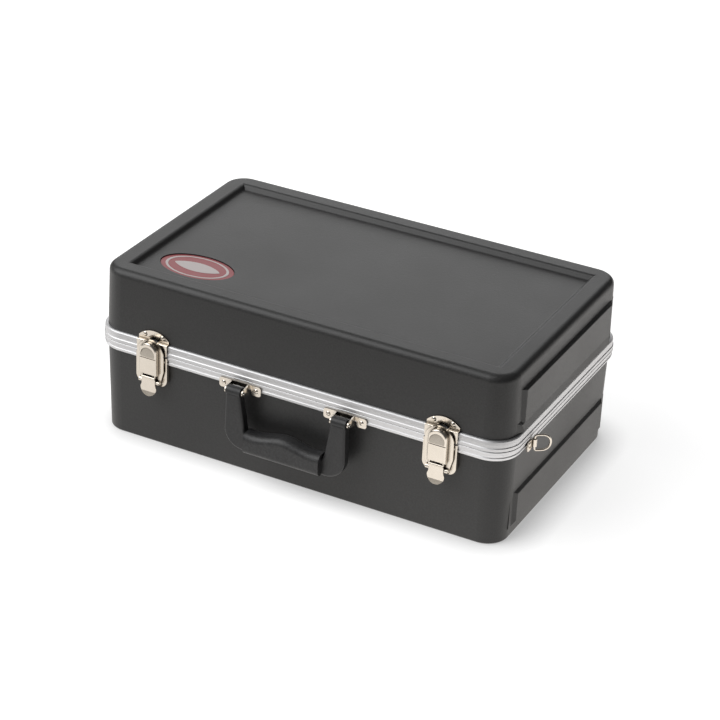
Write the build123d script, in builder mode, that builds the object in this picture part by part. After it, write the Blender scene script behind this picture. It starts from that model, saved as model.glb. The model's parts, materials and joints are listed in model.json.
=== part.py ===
"""Hard-shell cornet case: vacuum-formed shells in an aluminium valance, with draw latches and a bow handle.

Lengths are millimetres. +X runs along the front to the right, the front faces -Y and +Z is up.
The origin is the centre of the base's underside.
"""
from build123d import *

import os
from math import radians, tan

# Overall size, measured over the valance
case_length = 438.0
case_width = 265.0
case_height = 174.7
base_height = 100.7

# Vacuum-formed shells
shell_wall = 3.0
wall_draft = 1.4
shell_corner_radius = 24.0
top_edge_radius = 7.0
bottom_edge_radius = 2.0

# Sunk panel in the lid's top, measured to the middle of its sloped sides
panel_border = 23.5
panel_depth = 5.2
panel_slope_run = 3.6
panel_round = 4.0
panel_reach = 6.0
panel_lift = 0.04

# Raised fields on the end walls
field_proud = 3.0
field_front = 102.0
field_back = 105.4
field_slant = 6.0
field_end_round = 5.0
field_root = 1.6
field_sink = 0.2
lid_field_low = 8.0
lid_field_high = 43.4
lid_ledge_drop = 1.2
base_field_low = 10.0
base_field_high = 48.0
base_ledge_drop = 3.2
field_foot_slant = 6.0
ledge_round = 1.8
ridge_height = 0.6

# Flare of the lid's end walls over the valance
flare_foot = 3.2
flare_head = 1.95
flare_fade = 5.0
flare_gap = 0.7
flare_run = 16.5
flare_front = 98.0

# Valance: the two aluminium extrusions that edge the shells
valance_proud = 4.0
upper_valance_height = 10.7
lower_valance_height = 9.8
valance_web = 3.2
valance_inner_leg = 1.5
valance_inner_height = 7.0
valance_groove_depth = 0.7
valance_groove_low = 0.36
valance_groove_high = 0.60
valance_crown = 1.2
valance_edge_round = 1.0
valance_parting_bevel = 0.4
channel_clearance = 0.15
tongue_width = 1.4
tongue_taper = 0.2
tongue_height = 1.6
tongue_clearance = 0.8
parting_gap = 0.3

# Sheet metal and rivets
plate_thickness = 1.2
rivet_radius = 1.4
rivet_head_radius = 2.4
rivet_head_height = 1.1
rivet_grip = 3.0
rivet_end_gap = 0.3
rivet_hole_clearance = 0.05
fixed_clearance = 0.02
running_clearance = 0.05

# Draw latches
latch_spacing = 304.9
catch_width = 33.0
catch_shoulder = 3.8
catch_apex = 11.0
catch_rivet_spacing = 19.0
catch_rivet_height = 5.9
catch_bay_radius = 9.0
catch_bay_apex = 3.0
catch_bay_foot = 3.0
catch_fold_round = 1.0
latch_base_width = 34.0
latch_base_drop = 33.3
latch_base_top = 1.5
latch_base_corner = 8.0
latch_rim_gap = 0.6
latch_rivet_drop = 5.6
latch_rivet_spacing = 24.0
latch_pivot_drop = 20.7
latch_pivot_out = 4.6
latch_throw = 7.5
latch_pin_radius = 1.2
latch_ear_spacing = 7.6
latch_ear_radius = 2.0
latch_ear_root = 8.0
lever_width = 14.8
lever_web_out = 7.2
lever_web_top = 2.2
lever_web_foot = 2.6
lever_eye_radius = 2.5
lever_bead_radius = 1.3
lever_bead_drop = 0.4
lever_bead_sink = 0.2
tab_width = 17.4
tab_length = 43.0
tab_kick = 1.1
tab_bend = 4.6
hook_front_out = 8.9
hook_rim_out = 3.8
hook_boss_width = 18.8
hook_boss_round = 1.7
hook_rim_width = 28.8
hook_leg_width = 22.4
hook_leg_taper = 12.0
hook_foot_drop = 19.9
hook_boss_apex = 13.6
hook_rim_apex = 14.5
hook_window_radius = 7.6
hook_window_centre = 1.7
hook_window_sill = -1.0
hook_window_depth = 1.6
hook_crease_width = 0.9
hook_crease_depth = 0.6
hook_knuckle_radius = 2.2
hook_knuckle_inset = 7.8
hook_lip_gap = 0.4
hook_lip_foot = 8.0
hook_pin_end = 0.2
pin_bevel_share = 0.25

# Handle
handle_width = 129.0
handle_arm_width = 15.0
handle_arm_foot = 23.0
handle_arm_inset = 1.5
handle_thickness = 10.0
handle_edge_round = 2.6
handle_drop = 58.4
handle_corner_radius = 20.0
handle_inner_radius = 6.0
handle_bar_height = 17.4
handle_pivot_out = 10.5
handle_pivot_drop = 7.7
handle_pin_radius = 1.5
handle_pin_end = 0.8
grip_length = 80.0
grip_thickness = 19.0
grip_height = 23.0
grip_shoulder_drop = 1.0
grip_ramp = 0.8
grip_swell = 4.6
grip_forward = 1.8
grip_edge_round = 6.5
grip_core_height = 9.0
grip_core_thickness = 6.0
grip_core_seat = 2.0
bracket_eye_spacing = 34.5
bracket_eye_radius = 5.0
bracket_corner = 2.6
bracket_ear_gap = 0.9
bracket_strap_height = 4.0
bracket_ear_tip = 3.2

# D-rings on the end walls
ring_from_front = 52.9
ring_wire_radius = 1.1
ring_height = 15.8
ring_reach = 14.9
ring_corner_radius = 2.5
ring_tip_flat = 0.1
ring_rest_angle = 35.0
ring_drop = 8.6
ring_barrel_radius = 2.3
ring_barrel_height = 7.6
ring_plate_length = 13.0
ring_plate_height = 10.0
ring_plate_corner = 3.0
ring_rivet_inset = 0.6
ring_rivet_rise = 1.6

# Hinges at the back
hinge_spacing = 260.0
hinge_length = 56.0
hinge_axis_out = 3.3
hinge_knuckle_radius = 2.8
hinge_pin_radius = 1.4
hinge_knuckles = 5
hinge_knuckle_gap = 0.3
hinge_knuckle_clear = 0.5
hinge_leaf_height = 8.6
hinge_rivet_inset = 8.0
hinge_rivet_rise = 5.6

# Fitted interior
liner_clearance = 3.4
liner_top_gap = 4.0
liner_floor = 16.0
pocket_corner = 24.0
pocket_left = -128.0
pocket_right = 188.0
pocket_front = -94.0
pocket_back = 30.0
bell_pocket_radius = 62.0
well_left = -20.0
well_right = 188.0
well_front = 48.0
well_back = 108.0
well_corner = 8.0
mouthpiece_bore = 15.0
mouthpiece_row = 78.0
mouthpiece_first = -104.0
mouthpiece_step = 42.0
mouthpiece_depth = 62.0
lid_recess_depth = 34.0

# Badge, a plain oval in a shallow recess, placed from the middle of the panel's sloped sides
badge_length = 77.0
badge_width = 46.0
badge_from_end = 51.0
badge_from_front = 33.5
badge_thickness = 0.7
badge_edge_bevel = 0.3
badge_recess = 1.6
badge_clearance = 0.3

half_length = case_length / 2
half_width = case_width / 2
wall_x = half_length - valance_proud
wall_y = half_width - valance_proud
parting = base_height
lid_rim = parting + upper_valance_height
base_rim = parting - lower_valance_height
slope = tan(radians(wall_draft))
panel_x = wall_x - panel_border
panel_y = wall_y - panel_border
badge_x = badge_from_end - panel_x
badge_y = badge_from_front - panel_y

os.makedirs("parts", exist_ok=True)


def save(part, name):
    """Labels a finished piece and writes it as its own file."""
    part.label = name
    export_step(part, f"parts/{name}.step")


def lean(z):
    """How far the drafted wall has moved in from the valance at a height."""
    if z > lid_rim:
        return (z - lid_rim) * slope
    return max(base_rim - z, 0.0) * slope


def walled_block(z_low, z_high, inset_low, inset_high):
    """A block with rounded corners that keeps inside the shell walls."""
    with BuildPart() as block:
        for z, inset in ((z_low, inset_low), (z_high, inset_high)):
            with BuildSketch(Plane.XY.offset(z)):
                RectangleRounded(
                    2 * (wall_x - inset),
                    2 * (wall_y - inset),
                    shell_corner_radius - inset,
                )
        loft()
    return block.part


def end_field(z_low, low_in, low_slant, z_high, high_slant):
    """The raised field of one end wall: an upright section crossed with a plan, so that its corners mitre."""
    face_x = wall_x - lean((z_low + z_high) / 2) + field_proud
    root_x = face_x - field_proud - field_root
    foot_x = wall_x - lean(z_high) - field_sink
    top_x = wall_x - lean(z_high + field_root) - field_sink
    plan_x = face_x + field_sink
    ends = field_proud + field_root
    with BuildPart() as field:
        with BuildSketch(Plane.XZ):
            with BuildLine():
                FilletPolyline(
                    (face_x, z_low + low_slant),
                    (face_x, z_high - high_slant),
                    (foot_x, z_high),
                    (top_x, z_high + field_root),
                    radius=ledge_round,
                )
                Polyline(
                    (top_x, z_high + field_root),
                    (root_x, z_high + field_root),
                    (root_x, z_low),
                    (face_x - low_in, z_low),
                    (face_x, z_low + low_slant),
                )
            make_face()
        extrude(amount=case_width, both=True)
        with BuildSketch(Plane.XY.offset(z_low)):
            with BuildLine():
                FilletPolyline(
                    (foot_x, -field_front - ends),
                    (foot_x, -field_front),
                    (plan_x, -field_front + field_slant),
                    (plan_x, field_back - field_slant),
                    (foot_x, field_back),
                    (foot_x, field_back + ends),
                    radius=field_end_round,
                )
                Polyline(
                    (foot_x, field_back + ends),
                    (root_x, field_back + ends),
                    (root_x, -field_front - ends),
                    (foot_x, -field_front - ends),
                )
            make_face()
        extrude(amount=z_high - z_low + field_root, mode=Mode.INTERSECT)
    return field.part


def field_skin(z_low, z_high, slant):
    """The hollow behind a raised field, which keeps the wall's thickness."""
    face_x = wall_x - lean((z_low + z_high) / 2) + field_proud - shell_wall
    root_x = face_x - field_proud - field_root
    grow = (field_proud + field_root) / field_proud
    with BuildPart() as skin:
        for x, share in ((root_x, grow), (face_x, 0.0)):
            y_low = -field_front + shell_wall / 2 + field_slant * (1 - share)
            y_high = field_back - shell_wall / 2 - field_slant * (1 - share)
            bottom = z_low + shell_wall / 2
            top = z_high - shell_wall / 2 - slant * (1 - share)
            with BuildSketch(Plane(origin=(x, 0, 0), x_dir=(0, 1, 0), z_dir=(1, 0, 0))):
                with Locations(((y_low + y_high) / 2, (bottom + top) / 2)):
                    Rectangle(y_high - y_low, top - bottom)
        loft()
    return skin.part


def end_flare():
    """The lid wall's gentle flare over the valance, which fades out before the corners."""
    ridge_z = lid_rim + lid_field_low
    root_x = wall_x - field_root
    fade_x = wall_x - flare_foot
    with BuildPart() as flare:
        with BuildSketch(Plane.XZ):
            with BuildLine():
                Polyline(
                    (root_x, lid_rim + flare_gap),
                    (wall_x + flare_foot, lid_rim + flare_gap),
                    (wall_x + flare_head, ridge_z),
                    (root_x, ridge_z + flare_fade),
                    close=True,
                )
            make_face()
        extrude(amount=case_width, both=True)
        with BuildSketch(Plane.XY.offset(lid_rim)):
            with BuildLine():
                Polyline(
                    (fade_x, -flare_front - flare_run),
                    (wall_x + flare_foot + field_sink, -flare_front),
                    (wall_x + flare_foot + field_sink, flare_front),
                    (fade_x, flare_front + flare_run),
                    close=True,
                )
            make_face()
        extrude(amount=lid_field_low + flare_fade, mode=Mode.INTERSECT)
    return flare.part


def basin(plane, middle):
    """A long trough with the sunk panel's section: sloped sides with rounded shoulders and feet."""
    outer = middle + panel_slope_run / 2
    inner = middle - panel_slope_run / 2
    top = case_height + panel_lift
    floor = case_height - panel_depth
    with BuildPart() as trough:
        with BuildSketch(plane):
            with BuildLine():
                FilletPolyline(
                    (-outer - panel_reach, top),
                    (-outer, top),
                    (-inner, floor),
                    (inner, floor),
                    (outer, top),
                    (outer + panel_reach, top),
                    radius=panel_round,
                )
                Polyline(
                    (outer + panel_reach, top),
                    (outer + panel_reach, top + panel_reach),
                    (-outer - panel_reach, top + panel_reach),
                    (-outer - panel_reach, top),
                )
            make_face()
        extrude(amount=case_length, both=True)
    return trough.part


def facing(x, y, z, direction):
    """The place of a rivet or pin that points along a direction."""
    return Plane(origin=(x, y, z), z_dir=direction).location


def drill(places, radius, depth):
    """Cuts a hole of a given depth at each place, behind the surface it starts on."""
    with Locations(*places):
        Cylinder(radius, 2 * depth, mode=Mode.SUBTRACT)


def rivets(places, grip):
    """Domed rivets whose heads sit on the plate and whose shanks pass through it."""
    with BuildPart() as one:
        with BuildSketch(Plane.XZ):
            with BuildLine():
                RadiusArc(
                    (rivet_head_radius, 0),
                    (0, rivet_head_height),
                    -(rivet_head_radius**2 + rivet_head_height**2) / (2 * rivet_head_height),
                )
                Polyline(
                    (rivet_head_radius, 0),
                    (rivet_radius, 0),
                    (rivet_radius, -grip),
                    (0, -grip),
                    (0, rivet_head_height),
                )
            make_face()
        revolve(axis=Axis.Z)
    with BuildPart() as group:
        with Locations(*places):
            add(one.part)
    return group.part


# Places that several pieces share
latch_xs = {"left": -latch_spacing / 2, "right": latch_spacing / 2}
catch_rivet_z = lid_rim + catch_rivet_height
catch_back_y = -(wall_y + fixed_clearance)
catch_rivet_places = [
    facing(x + step * catch_rivet_spacing / 2, catch_back_y - plate_thickness, catch_rivet_z, (0, -1, 0))
    for x in latch_xs.values()
    for step in (-1, 1)
]
latch_rivet_z = parting - latch_rivet_drop
latch_rivet_places = [
    facing(x + step * latch_rivet_spacing / 2, -half_width - plate_thickness, latch_rivet_z, (0, -1, 0))
    for x in latch_xs.values()
    for step in (-1, 1)
]
bracket_x = handle_width / 2 - handle_arm_inset - handle_arm_width / 2
bracket_xs = {"left": -bracket_x, "right": bracket_x}
bracket_z = parting - handle_pivot_drop
bracket_rivet_places = [
    facing(x + step * bracket_eye_spacing / 2, -half_width - plate_thickness, bracket_z, (0, -1, 0))
    for x in bracket_xs.values()
    for step in (-1, 1)
]
ring_y = -half_width + ring_from_front
ring_z = parting - ring_drop
ring_axis_x = half_length + ring_barrel_radius
ring_rivet_y = ring_y - ring_barrel_radius - ring_plate_length / 2 + ring_rivet_inset
ring_rivet_z = ring_z + ring_rivet_rise
ring_rivet_places = [
    facing(side * (half_length + plate_thickness), ring_rivet_y, ring_rivet_z, (side, 0, 0))
    for side in (-1, 1)
]
hinge_axis_y = half_width + hinge_axis_out
hinge_xs = {"left": -hinge_spacing / 2, "right": hinge_spacing / 2}
hinge_rivet_step = hinge_length / 2 - hinge_rivet_inset
hinge_rivet_xs = [x + step * hinge_rivet_step for x in hinge_xs.values() for step in (-1, 1)]
hinge_base_places = [
    facing(x, half_width + plate_thickness, parting - hinge_rivet_rise, (0, 1, 0)) for x in hinge_rivet_xs
]
hinge_lid_places = [
    facing(x, half_width + plate_thickness, parting + hinge_rivet_rise, (0, 1, 0)) for x in hinge_rivet_xs
]
rivet_hole_radius = rivet_radius + rivet_hole_clearance
rivet_hole_depth = rivet_grip + plate_thickness + rivet_end_gap


# Lid shell
lip_z = parting + parting_gap / 2 + valance_web + channel_clearance
top_inset = lean(case_height)
ceiling = case_height - shell_wall
lid_lip = walled_block(lip_z, lid_rim, 0, 0)
lid_form = walled_block(lid_rim, case_height, 0, top_inset)
lid_field_foot = lid_rim + lid_field_low
lid_field_top = lid_rim + lid_field_high
lid_field = end_field(lid_field_foot, ridge_height, ridge_height, lid_field_top, lid_ledge_drop)
lid_flare = end_flare()
lid_hollow_lip = walled_block(lip_z - shell_wall, lid_rim, shell_wall, shell_wall)
lid_hollow_form = walled_block(lid_rim, ceiling, shell_wall, shell_wall + lean(ceiling))
lid_field_skin = field_skin(lid_field_foot, lid_field_top, lid_ledge_drop)

with BuildPart() as panel_pocket:
    add(basin(Plane.XZ, panel_x))
    add(basin(Plane.YZ, panel_y), mode=Mode.INTERSECT)

panel_table_ends = (
    (ceiling + shell_wall / 2, panel_slope_run / 2),
    (ceiling - panel_depth, -panel_slope_run / 2),
)
with BuildPart() as panel_table:
    for z, grow in panel_table_ends:
        with BuildSketch(Plane.XY.offset(z)):
            Rectangle(2 * (panel_x + shell_wall + grow), 2 * (panel_y + shell_wall + grow))
    loft()

with BuildPart() as lid_hollow:
    add(lid_hollow_form)
    fillet(lid_hollow.edges().group_by(Axis.Z)[-1], top_edge_radius - shell_wall)
    add(lid_hollow_lip)
    add(lid_field_skin)
    mirror(lid_field_skin, about=Plane.YZ)
    add(panel_table.part, mode=Mode.SUBTRACT)

with BuildPart() as lid_shell:
    add(lid_form)
    fillet(lid_shell.edges().group_by(Axis.Z)[-1], top_edge_radius)
    add(lid_lip)
    for piece in (lid_flare, lid_field):
        add(piece)
        mirror(piece, about=Plane.YZ)
    add(panel_pocket.part, mode=Mode.SUBTRACT)
    add(lid_hollow.part, mode=Mode.SUBTRACT)
    with BuildSketch(Plane.XY.offset(case_height - panel_depth)):
        with Locations((badge_x, badge_y)):
            Ellipse(badge_length / 2 + badge_clearance, badge_width / 2 + badge_clearance)
    extrude(amount=-badge_recess, mode=Mode.SUBTRACT)
    drill(catch_rivet_places, rivet_hole_radius, rivet_hole_depth)
save(lid_shell.part, "lid_shell")

# Base shell
base_lip_z = parting - parting_gap / 2 - valance_web - channel_clearance
bottom_inset = lean(0.0)
base_form = walled_block(0.0, base_rim, bottom_inset, 0)
base_lip = walled_block(base_rim, base_lip_z, 0, 0)
field_foot_in = field_proud + field_root / 2
base_field = end_field(base_field_low, field_foot_in, field_foot_slant, base_field_high, base_ledge_drop)
base_hollow_form = walled_block(shell_wall, base_rim, shell_wall + lean(shell_wall), shell_wall)
base_hollow_lip = walled_block(base_rim, base_lip_z + shell_wall, shell_wall, shell_wall)
base_field_skin = field_skin(base_field_low + field_foot_slant, base_field_high, base_ledge_drop)

with BuildPart() as base_shell:
    add(base_form)
    fillet(base_shell.edges().group_by(Axis.Z)[0], bottom_edge_radius)
    add(base_lip)
    add(base_field)
    mirror(base_field, about=Plane.YZ)
    add(base_hollow_form, mode=Mode.SUBTRACT)
    add(base_hollow_lip, mode=Mode.SUBTRACT)
    add(base_field_skin, mode=Mode.SUBTRACT)
    mirror(base_field_skin, about=Plane.YZ, mode=Mode.SUBTRACT)
save(base_shell.part, "base_shell")

# Valance: one bent extrusion round the lid and one round the base
valance_corner = shell_corner_radius + valance_proud
channel_out = -valance_proud + channel_clearance
channel_in = -valance_proud - shell_wall - channel_clearance
inner_face = channel_in - valance_inner_leg
tongue_middle = -valance_proud - shell_wall / 2


def valance_ring(start, sense, height, tongue_sense):
    """Sweeps the valance's section round the case; sense is +1 for the lid's half and -1 for the base's."""
    groove_low = height * valance_groove_low
    groove_high = height * valance_groove_high
    bevel = valance_groove_depth
    shoulder = height - valance_edge_round

    def crown(up):
        """The face falls back in a curve from the parting to the edge."""
        return -valance_crown * (up / height) ** 2

    with BuildPart() as ring:
        with BuildLine(Plane.XY.offset(start)) as route:
            FilletPolyline(
                (half_length, -half_width),
                (half_length, half_width),
                (-half_length, half_width),
                (-half_length, -half_width),
                radius=valance_corner,
                close=True,
            )
        along = route.line % 0
        with BuildSketch(Plane(origin=route.line @ 0, x_dir=along.cross(Vector(0, 0, 1)), z_dir=along)):
            with BuildLine():
                Polyline(
                    (inner_face, 0),
                    (-valance_parting_bevel, 0),
                    (0, -sense * valance_parting_bevel),
                    (crown(groove_low - bevel), -sense * (groove_low - bevel)),
                    (crown(groove_low) - bevel, -sense * groove_low),
                    (crown(groove_high) - bevel, -sense * groove_high),
                    (crown(groove_high + bevel), -sense * (groove_high + bevel)),
                    (crown(shoulder), -sense * shoulder),
                    (crown(height) - valance_edge_round / 3, -sense * (height - valance_edge_round / 3)),
                    (crown(height) - valance_edge_round, -sense * height),
                    (channel_out, -sense * height),
                    (channel_out, -sense * valance_web),
                    (channel_in, -sense * valance_web),
                    (channel_in, -sense * valance_inner_height),
                    (inner_face, -sense * valance_inner_height),
                    close=True,
                )
            make_face()
            reach = tongue_height + (0 if tongue_sense > 0 else tongue_clearance / 2)
            width = tongue_width + (0 if tongue_sense > 0 else 2 * tongue_clearance)
            mode = Mode.ADD if tongue_sense > 0 else Mode.SUBTRACT
            with BuildLine():
                Polyline(
                    (tongue_middle - width / 2, 0),
                    (tongue_middle - width / 2 + tongue_taper, sense * tongue_sense * reach),
                    (tongue_middle + width / 2 - tongue_taper, sense * tongue_sense * reach),
                    (tongue_middle + width / 2, 0),
                    close=True,
                )
            make_face(mode=mode)
        sweep(path=route.line)
    return ring.part


upper_valance_ring = valance_ring(parting + parting_gap / 2, 1, upper_valance_height - parting_gap / 2, -1)
lower_valance_ring = valance_ring(parting - parting_gap / 2, -1, lower_valance_height - parting_gap / 2, 1)

with BuildPart() as upper_valance:
    add(upper_valance_ring)
    drill(hinge_lid_places, rivet_hole_radius, rivet_hole_depth)
save(upper_valance.part, "upper_valance")

with BuildPart() as lower_valance:
    add(lower_valance_ring)
    drill(latch_rivet_places + bracket_rivet_places, rivet_hole_radius, rivet_hole_depth)
    drill(hinge_base_places + ring_rivet_places, rivet_hole_radius, rivet_hole_depth)
save(lower_valance.part, "lower_valance")


# Fitted interior: plush-covered foam beds
liner_x = wall_x - shell_wall - liner_clearance
liner_y = wall_y - shell_wall - liner_clearance
liner_corner = shell_corner_radius - shell_wall - liner_clearance
liner_top = parting - liner_top_gap
lid_liner_low = parting + liner_top_gap
lid_liner_high = ceiling - panel_depth
pocket_middle = ((pocket_left + pocket_right) / 2, (pocket_front + pocket_back) / 2)
pocket_size = (pocket_right - pocket_left, pocket_back - pocket_front)


def instrument_pocket(z, depth):
    """The hollow that holds the cornet on its side: a round for the bell and a long bay for the tubing."""
    with BuildPart() as pocket:
        with BuildSketch(Plane.XY.offset(z)):
            with Locations(pocket_middle):
                RectangleRounded(pocket_size[0], pocket_size[1], pocket_corner)
            with Locations((pocket_left, pocket_middle[1])):
                Circle(bell_pocket_radius)
        extrude(amount=depth)
    return pocket.part


bed_pocket = instrument_pocket(liner_floor, liner_top - liner_floor)
lid_pocket = instrument_pocket(lid_liner_low, lid_recess_depth)

with BuildPart() as base_liner:
    with BuildSketch(Plane.XY.offset(shell_wall)):
        RectangleRounded(2 * liner_x, 2 * liner_y, liner_corner)
    extrude(amount=liner_top - shell_wall)
    add(bed_pocket, mode=Mode.SUBTRACT)
    with BuildSketch(Plane.XY.offset(liner_floor)):
        with Locations(((well_left + well_right) / 2, (well_front + well_back) / 2)):
            RectangleRounded(well_right - well_left, well_back - well_front, well_corner)
    extrude(amount=liner_top - liner_floor, mode=Mode.SUBTRACT)
    with BuildSketch(Plane.XY.offset(liner_top)):
        with Locations(*[(mouthpiece_first + n * mouthpiece_step, mouthpiece_row) for n in range(2)]):
            Circle(mouthpiece_bore)
    extrude(amount=-mouthpiece_depth, mode=Mode.SUBTRACT)
save(base_liner.part, "base_liner")

with BuildPart() as lid_liner:
    with BuildSketch(Plane.XY.offset(lid_liner_low)):
        RectangleRounded(2 * liner_x, 2 * liner_y, liner_corner)
    extrude(amount=lid_liner_high - lid_liner_low)
    add(lid_pocket, mode=Mode.SUBTRACT)
save(lid_liner.part, "lid_liner")

# Badge
with BuildPart() as badge:
    with BuildSketch(Plane.XY.offset(case_height - panel_depth - badge_recess)):
        with Locations((badge_x, badge_y)):
            Ellipse(badge_length / 2, badge_width / 2)
    extrude(amount=badge_thickness)
    chamfer(badge.faces().sort_by(Axis.Z)[-1].edges(), badge_edge_bevel)
save(badge.part, "badge")

# Draw latches, drawn at x = 0 and then set at each place
plate_front = half_width + plate_thickness
pivot_y = -(half_width + latch_pivot_out)
pivot_z = parting - latch_pivot_drop
throw_z = pivot_z - latch_throw
hook_front = half_width + hook_front_out
hook_rim_front = half_width + hook_rim_out
hook_rim_back = hook_rim_front - plate_thickness
hook_foot = parting - hook_foot_drop


def arch(width, foot, apex):
    """An upright face with a round top."""
    radius = width / 2
    with Locations((0, (foot + apex - radius) / 2)):
        Rectangle(width, apex - radius - foot)
    with Locations((0, apex - radius)):
        Circle(radius)


def window_shape(radius, centre_z, sill_z):
    """The D of the hook's window: a round cut level along its sill."""
    with Locations((0, centre_z)):
        Circle(radius)
    with Locations((0, sill_z - radius)):
        Rectangle(2 * radius, 2 * radius, mode=Mode.SUBTRACT)


def across(x_low, x_high, y, z, radius, mode=Mode.ADD):
    """A cylinder along X between two stations."""
    with Locations(Location(((x_low + x_high) / 2, y, z), (0, 90, 0))):
        Cylinder(radius, x_high - x_low, mode=mode)


def pin(reach, y, z, radius):
    """A plain pin along X, centred on x = 0."""
    with BuildPart() as rod:
        across(-reach, reach, y, z, radius)
        chamfer(rod.edges().filter_by(GeomType.CIRCLE), radius * pin_bevel_share)
    return rod.part


def catch_plate():
    """The plate on the lid: it folds over the valance's top edge and its bay takes the hook."""
    fold = lid_rim + plate_thickness
    catch_front_y = catch_back_y - plate_thickness
    apex = lid_rim + catch_apex
    shoulder = lid_rim + catch_shoulder
    with BuildPart() as plate:
        with BuildSketch(Plane.YZ):
            with BuildLine():
                Polyline(
                    (catch_back_y, lid_rim),
                    (catch_back_y, apex),
                    (catch_front_y, apex),
                    (catch_front_y, fold),
                    (-plate_front, fold),
                    (-plate_front, parting + parting_gap),
                    (-half_width, parting + parting_gap),
                    (-half_width, lid_rim),
                    close=True,
                )
            make_face()
        extrude(amount=catch_width / 2, both=True)
        front_edges = plate.edges().filter_by(Axis.X).group_by(Axis.Y)[0]
        fillet(front_edges.group_by(Axis.Z)[-1], catch_fold_round)
        with BuildSketch(Plane.XZ):
            with BuildLine():
                Polyline(
                    (catch_width / 2, shoulder),
                    (catch_width / 2, base_rim),
                    (-catch_width / 2, base_rim),
                    (-catch_width / 2, shoulder),
                )
                ThreePointArc((-catch_width / 2, shoulder), (0, apex), (catch_width / 2, shoulder))
            make_face()
        extrude(amount=case_width, both=True, mode=Mode.INTERSECT)
        with BuildSketch(Plane.XZ):
            with Locations((0, lid_rim + catch_bay_apex - catch_bay_radius)):
                Circle(catch_bay_radius)
            with Locations((0, lid_rim - catch_width / 2 - catch_bay_foot)):
                Rectangle(catch_width, catch_width, mode=Mode.SUBTRACT)
        extrude(amount=case_width, both=True, mode=Mode.SUBTRACT)
        holes = [
            facing(step * catch_rivet_spacing / 2, catch_front_y, catch_rivet_z, (0, -1, 0))
            for step in (-1, 1)
        ]
        drill(holes, rivet_hole_radius, rivet_hole_depth)
    return plate.part


def latch_base():
    """The plate on the base: its turned rim reaches back to the wall, and two ears hold the lever."""
    top = parting - latch_base_top
    foot = parting - latch_base_drop
    rim_top = base_rim - parting_gap
    rim_back = -(wall_y + latch_rim_gap)
    inner_corner = latch_base_corner - plate_thickness
    with BuildPart() as base:
        with BuildSketch(Plane.XZ.offset(plate_front)) as face:
            with Locations((0, (foot + top) / 2)):
                Rectangle(latch_base_width, top - foot)
            fillet(face.vertices().group_by(Axis.Y)[0], latch_base_corner)
        extrude(amount=-plate_thickness)
        with BuildSketch(Plane.XZ.offset(half_width)) as rim:
            with Locations((0, (foot + rim_top) / 2)):
                Rectangle(latch_base_width, rim_top - foot)
            fillet(rim.vertices().group_by(Axis.Y)[0], latch_base_corner)
        extrude(amount=-(half_width + rim_back))
        with BuildSketch(Plane.XZ.offset(half_width)) as hollow:
            with Locations((0, (foot + rim_top) / 2 + plate_thickness)):
                Rectangle(latch_base_width - 2 * plate_thickness, rim_top - foot)
            fillet(hollow.vertices().group_by(Axis.Y)[0], inner_corner)
        extrude(amount=-(half_width + rim_back), mode=Mode.SUBTRACT)
        for side in (-1, 1):
            inner = latch_ear_spacing / 2
            with BuildSketch(Plane.YZ.offset(side * (inner + plate_thickness / 2))):
                with Locations((pivot_y, pivot_z)):
                    Circle(latch_ear_radius)
                with Locations((-half_width - plate_thickness / 2, pivot_z)):
                    Rectangle(plate_thickness, latch_ear_root)
                make_hull()
            extrude(amount=plate_thickness / 2, both=True)
        bore = latch_pin_radius + fixed_clearance
        across(-latch_base_width, latch_base_width, pivot_y, pivot_z, bore, Mode.SUBTRACT)
        holes = [
            facing(step * latch_rivet_spacing / 2, -plate_front, latch_rivet_z, (0, -1, 0))
            for step in (-1, 1)
        ]
        drill(holes, rivet_hole_radius, rivet_hole_depth)
    return base.part


def latch_lever():
    """The lever: two eyed flanges on a web, and the thumb tab that hangs from it."""
    web_front = half_width + lever_web_out
    web_back = web_front - plate_thickness
    web_top = pivot_z - lever_web_top
    web_foot = throw_z - lever_web_foot
    tab_foot = parting - tab_length
    tab_centre = tab_foot + tab_width / 2
    tab_knee = tab_foot + tab_bend
    with BuildPart() as lever:
        with BuildSketch(Plane.YZ):
            with BuildLine():
                Polyline(
                    (-web_front, web_top),
                    (-web_front, tab_knee),
                    (-web_front - tab_kick, tab_foot),
                    (-web_back - tab_kick, tab_foot),
                    (-web_back, tab_knee),
                    (-web_back, web_top),
                    close=True,
                )
            make_face()
        extrude(amount=tab_width / 2, both=True)
        with BuildSketch(Plane.XZ):
            with BuildLine():
                Polyline(
                    (tab_width / 2, tab_centre),
                    (lever_width / 2, web_foot),
                    (lever_width / 2, web_top),
                    (-lever_width / 2, web_top),
                    (-lever_width / 2, web_foot),
                    (-tab_width / 2, tab_centre),
                )
                ThreePointArc((-tab_width / 2, tab_centre), (0, tab_foot), (tab_width / 2, tab_centre))
            make_face()
        extrude(amount=case_width, both=True, mode=Mode.INTERSECT)
        bead_y = lever_bead_sink - web_front
        across(-lever_width / 2, lever_width / 2, bead_y, web_top - lever_bead_drop, lever_bead_radius)
        for side in (-1, 1):
            with BuildSketch(Plane.YZ.offset(side * (lever_width / 2 - plate_thickness / 2))):
                with Locations((pivot_y, pivot_z), (pivot_y, throw_z)):
                    Circle(lever_eye_radius)
                with Locations(((pivot_y - web_back) / 2, (pivot_z + throw_z) / 2)):
                    Rectangle(web_back + pivot_y, latch_throw)
                with Locations((pivot_y, (pivot_z + throw_z) / 2)):
                    Rectangle(2 * lever_eye_radius, latch_throw)
            extrude(amount=plate_thickness / 2, both=True)
        across(-tab_width, tab_width, pivot_y, pivot_z, latch_pin_radius + running_clearance, Mode.SUBTRACT)
        across(-tab_width, tab_width, pivot_y, throw_z, latch_pin_radius + fixed_clearance, Mode.SUBTRACT)
    return lever.part


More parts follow.
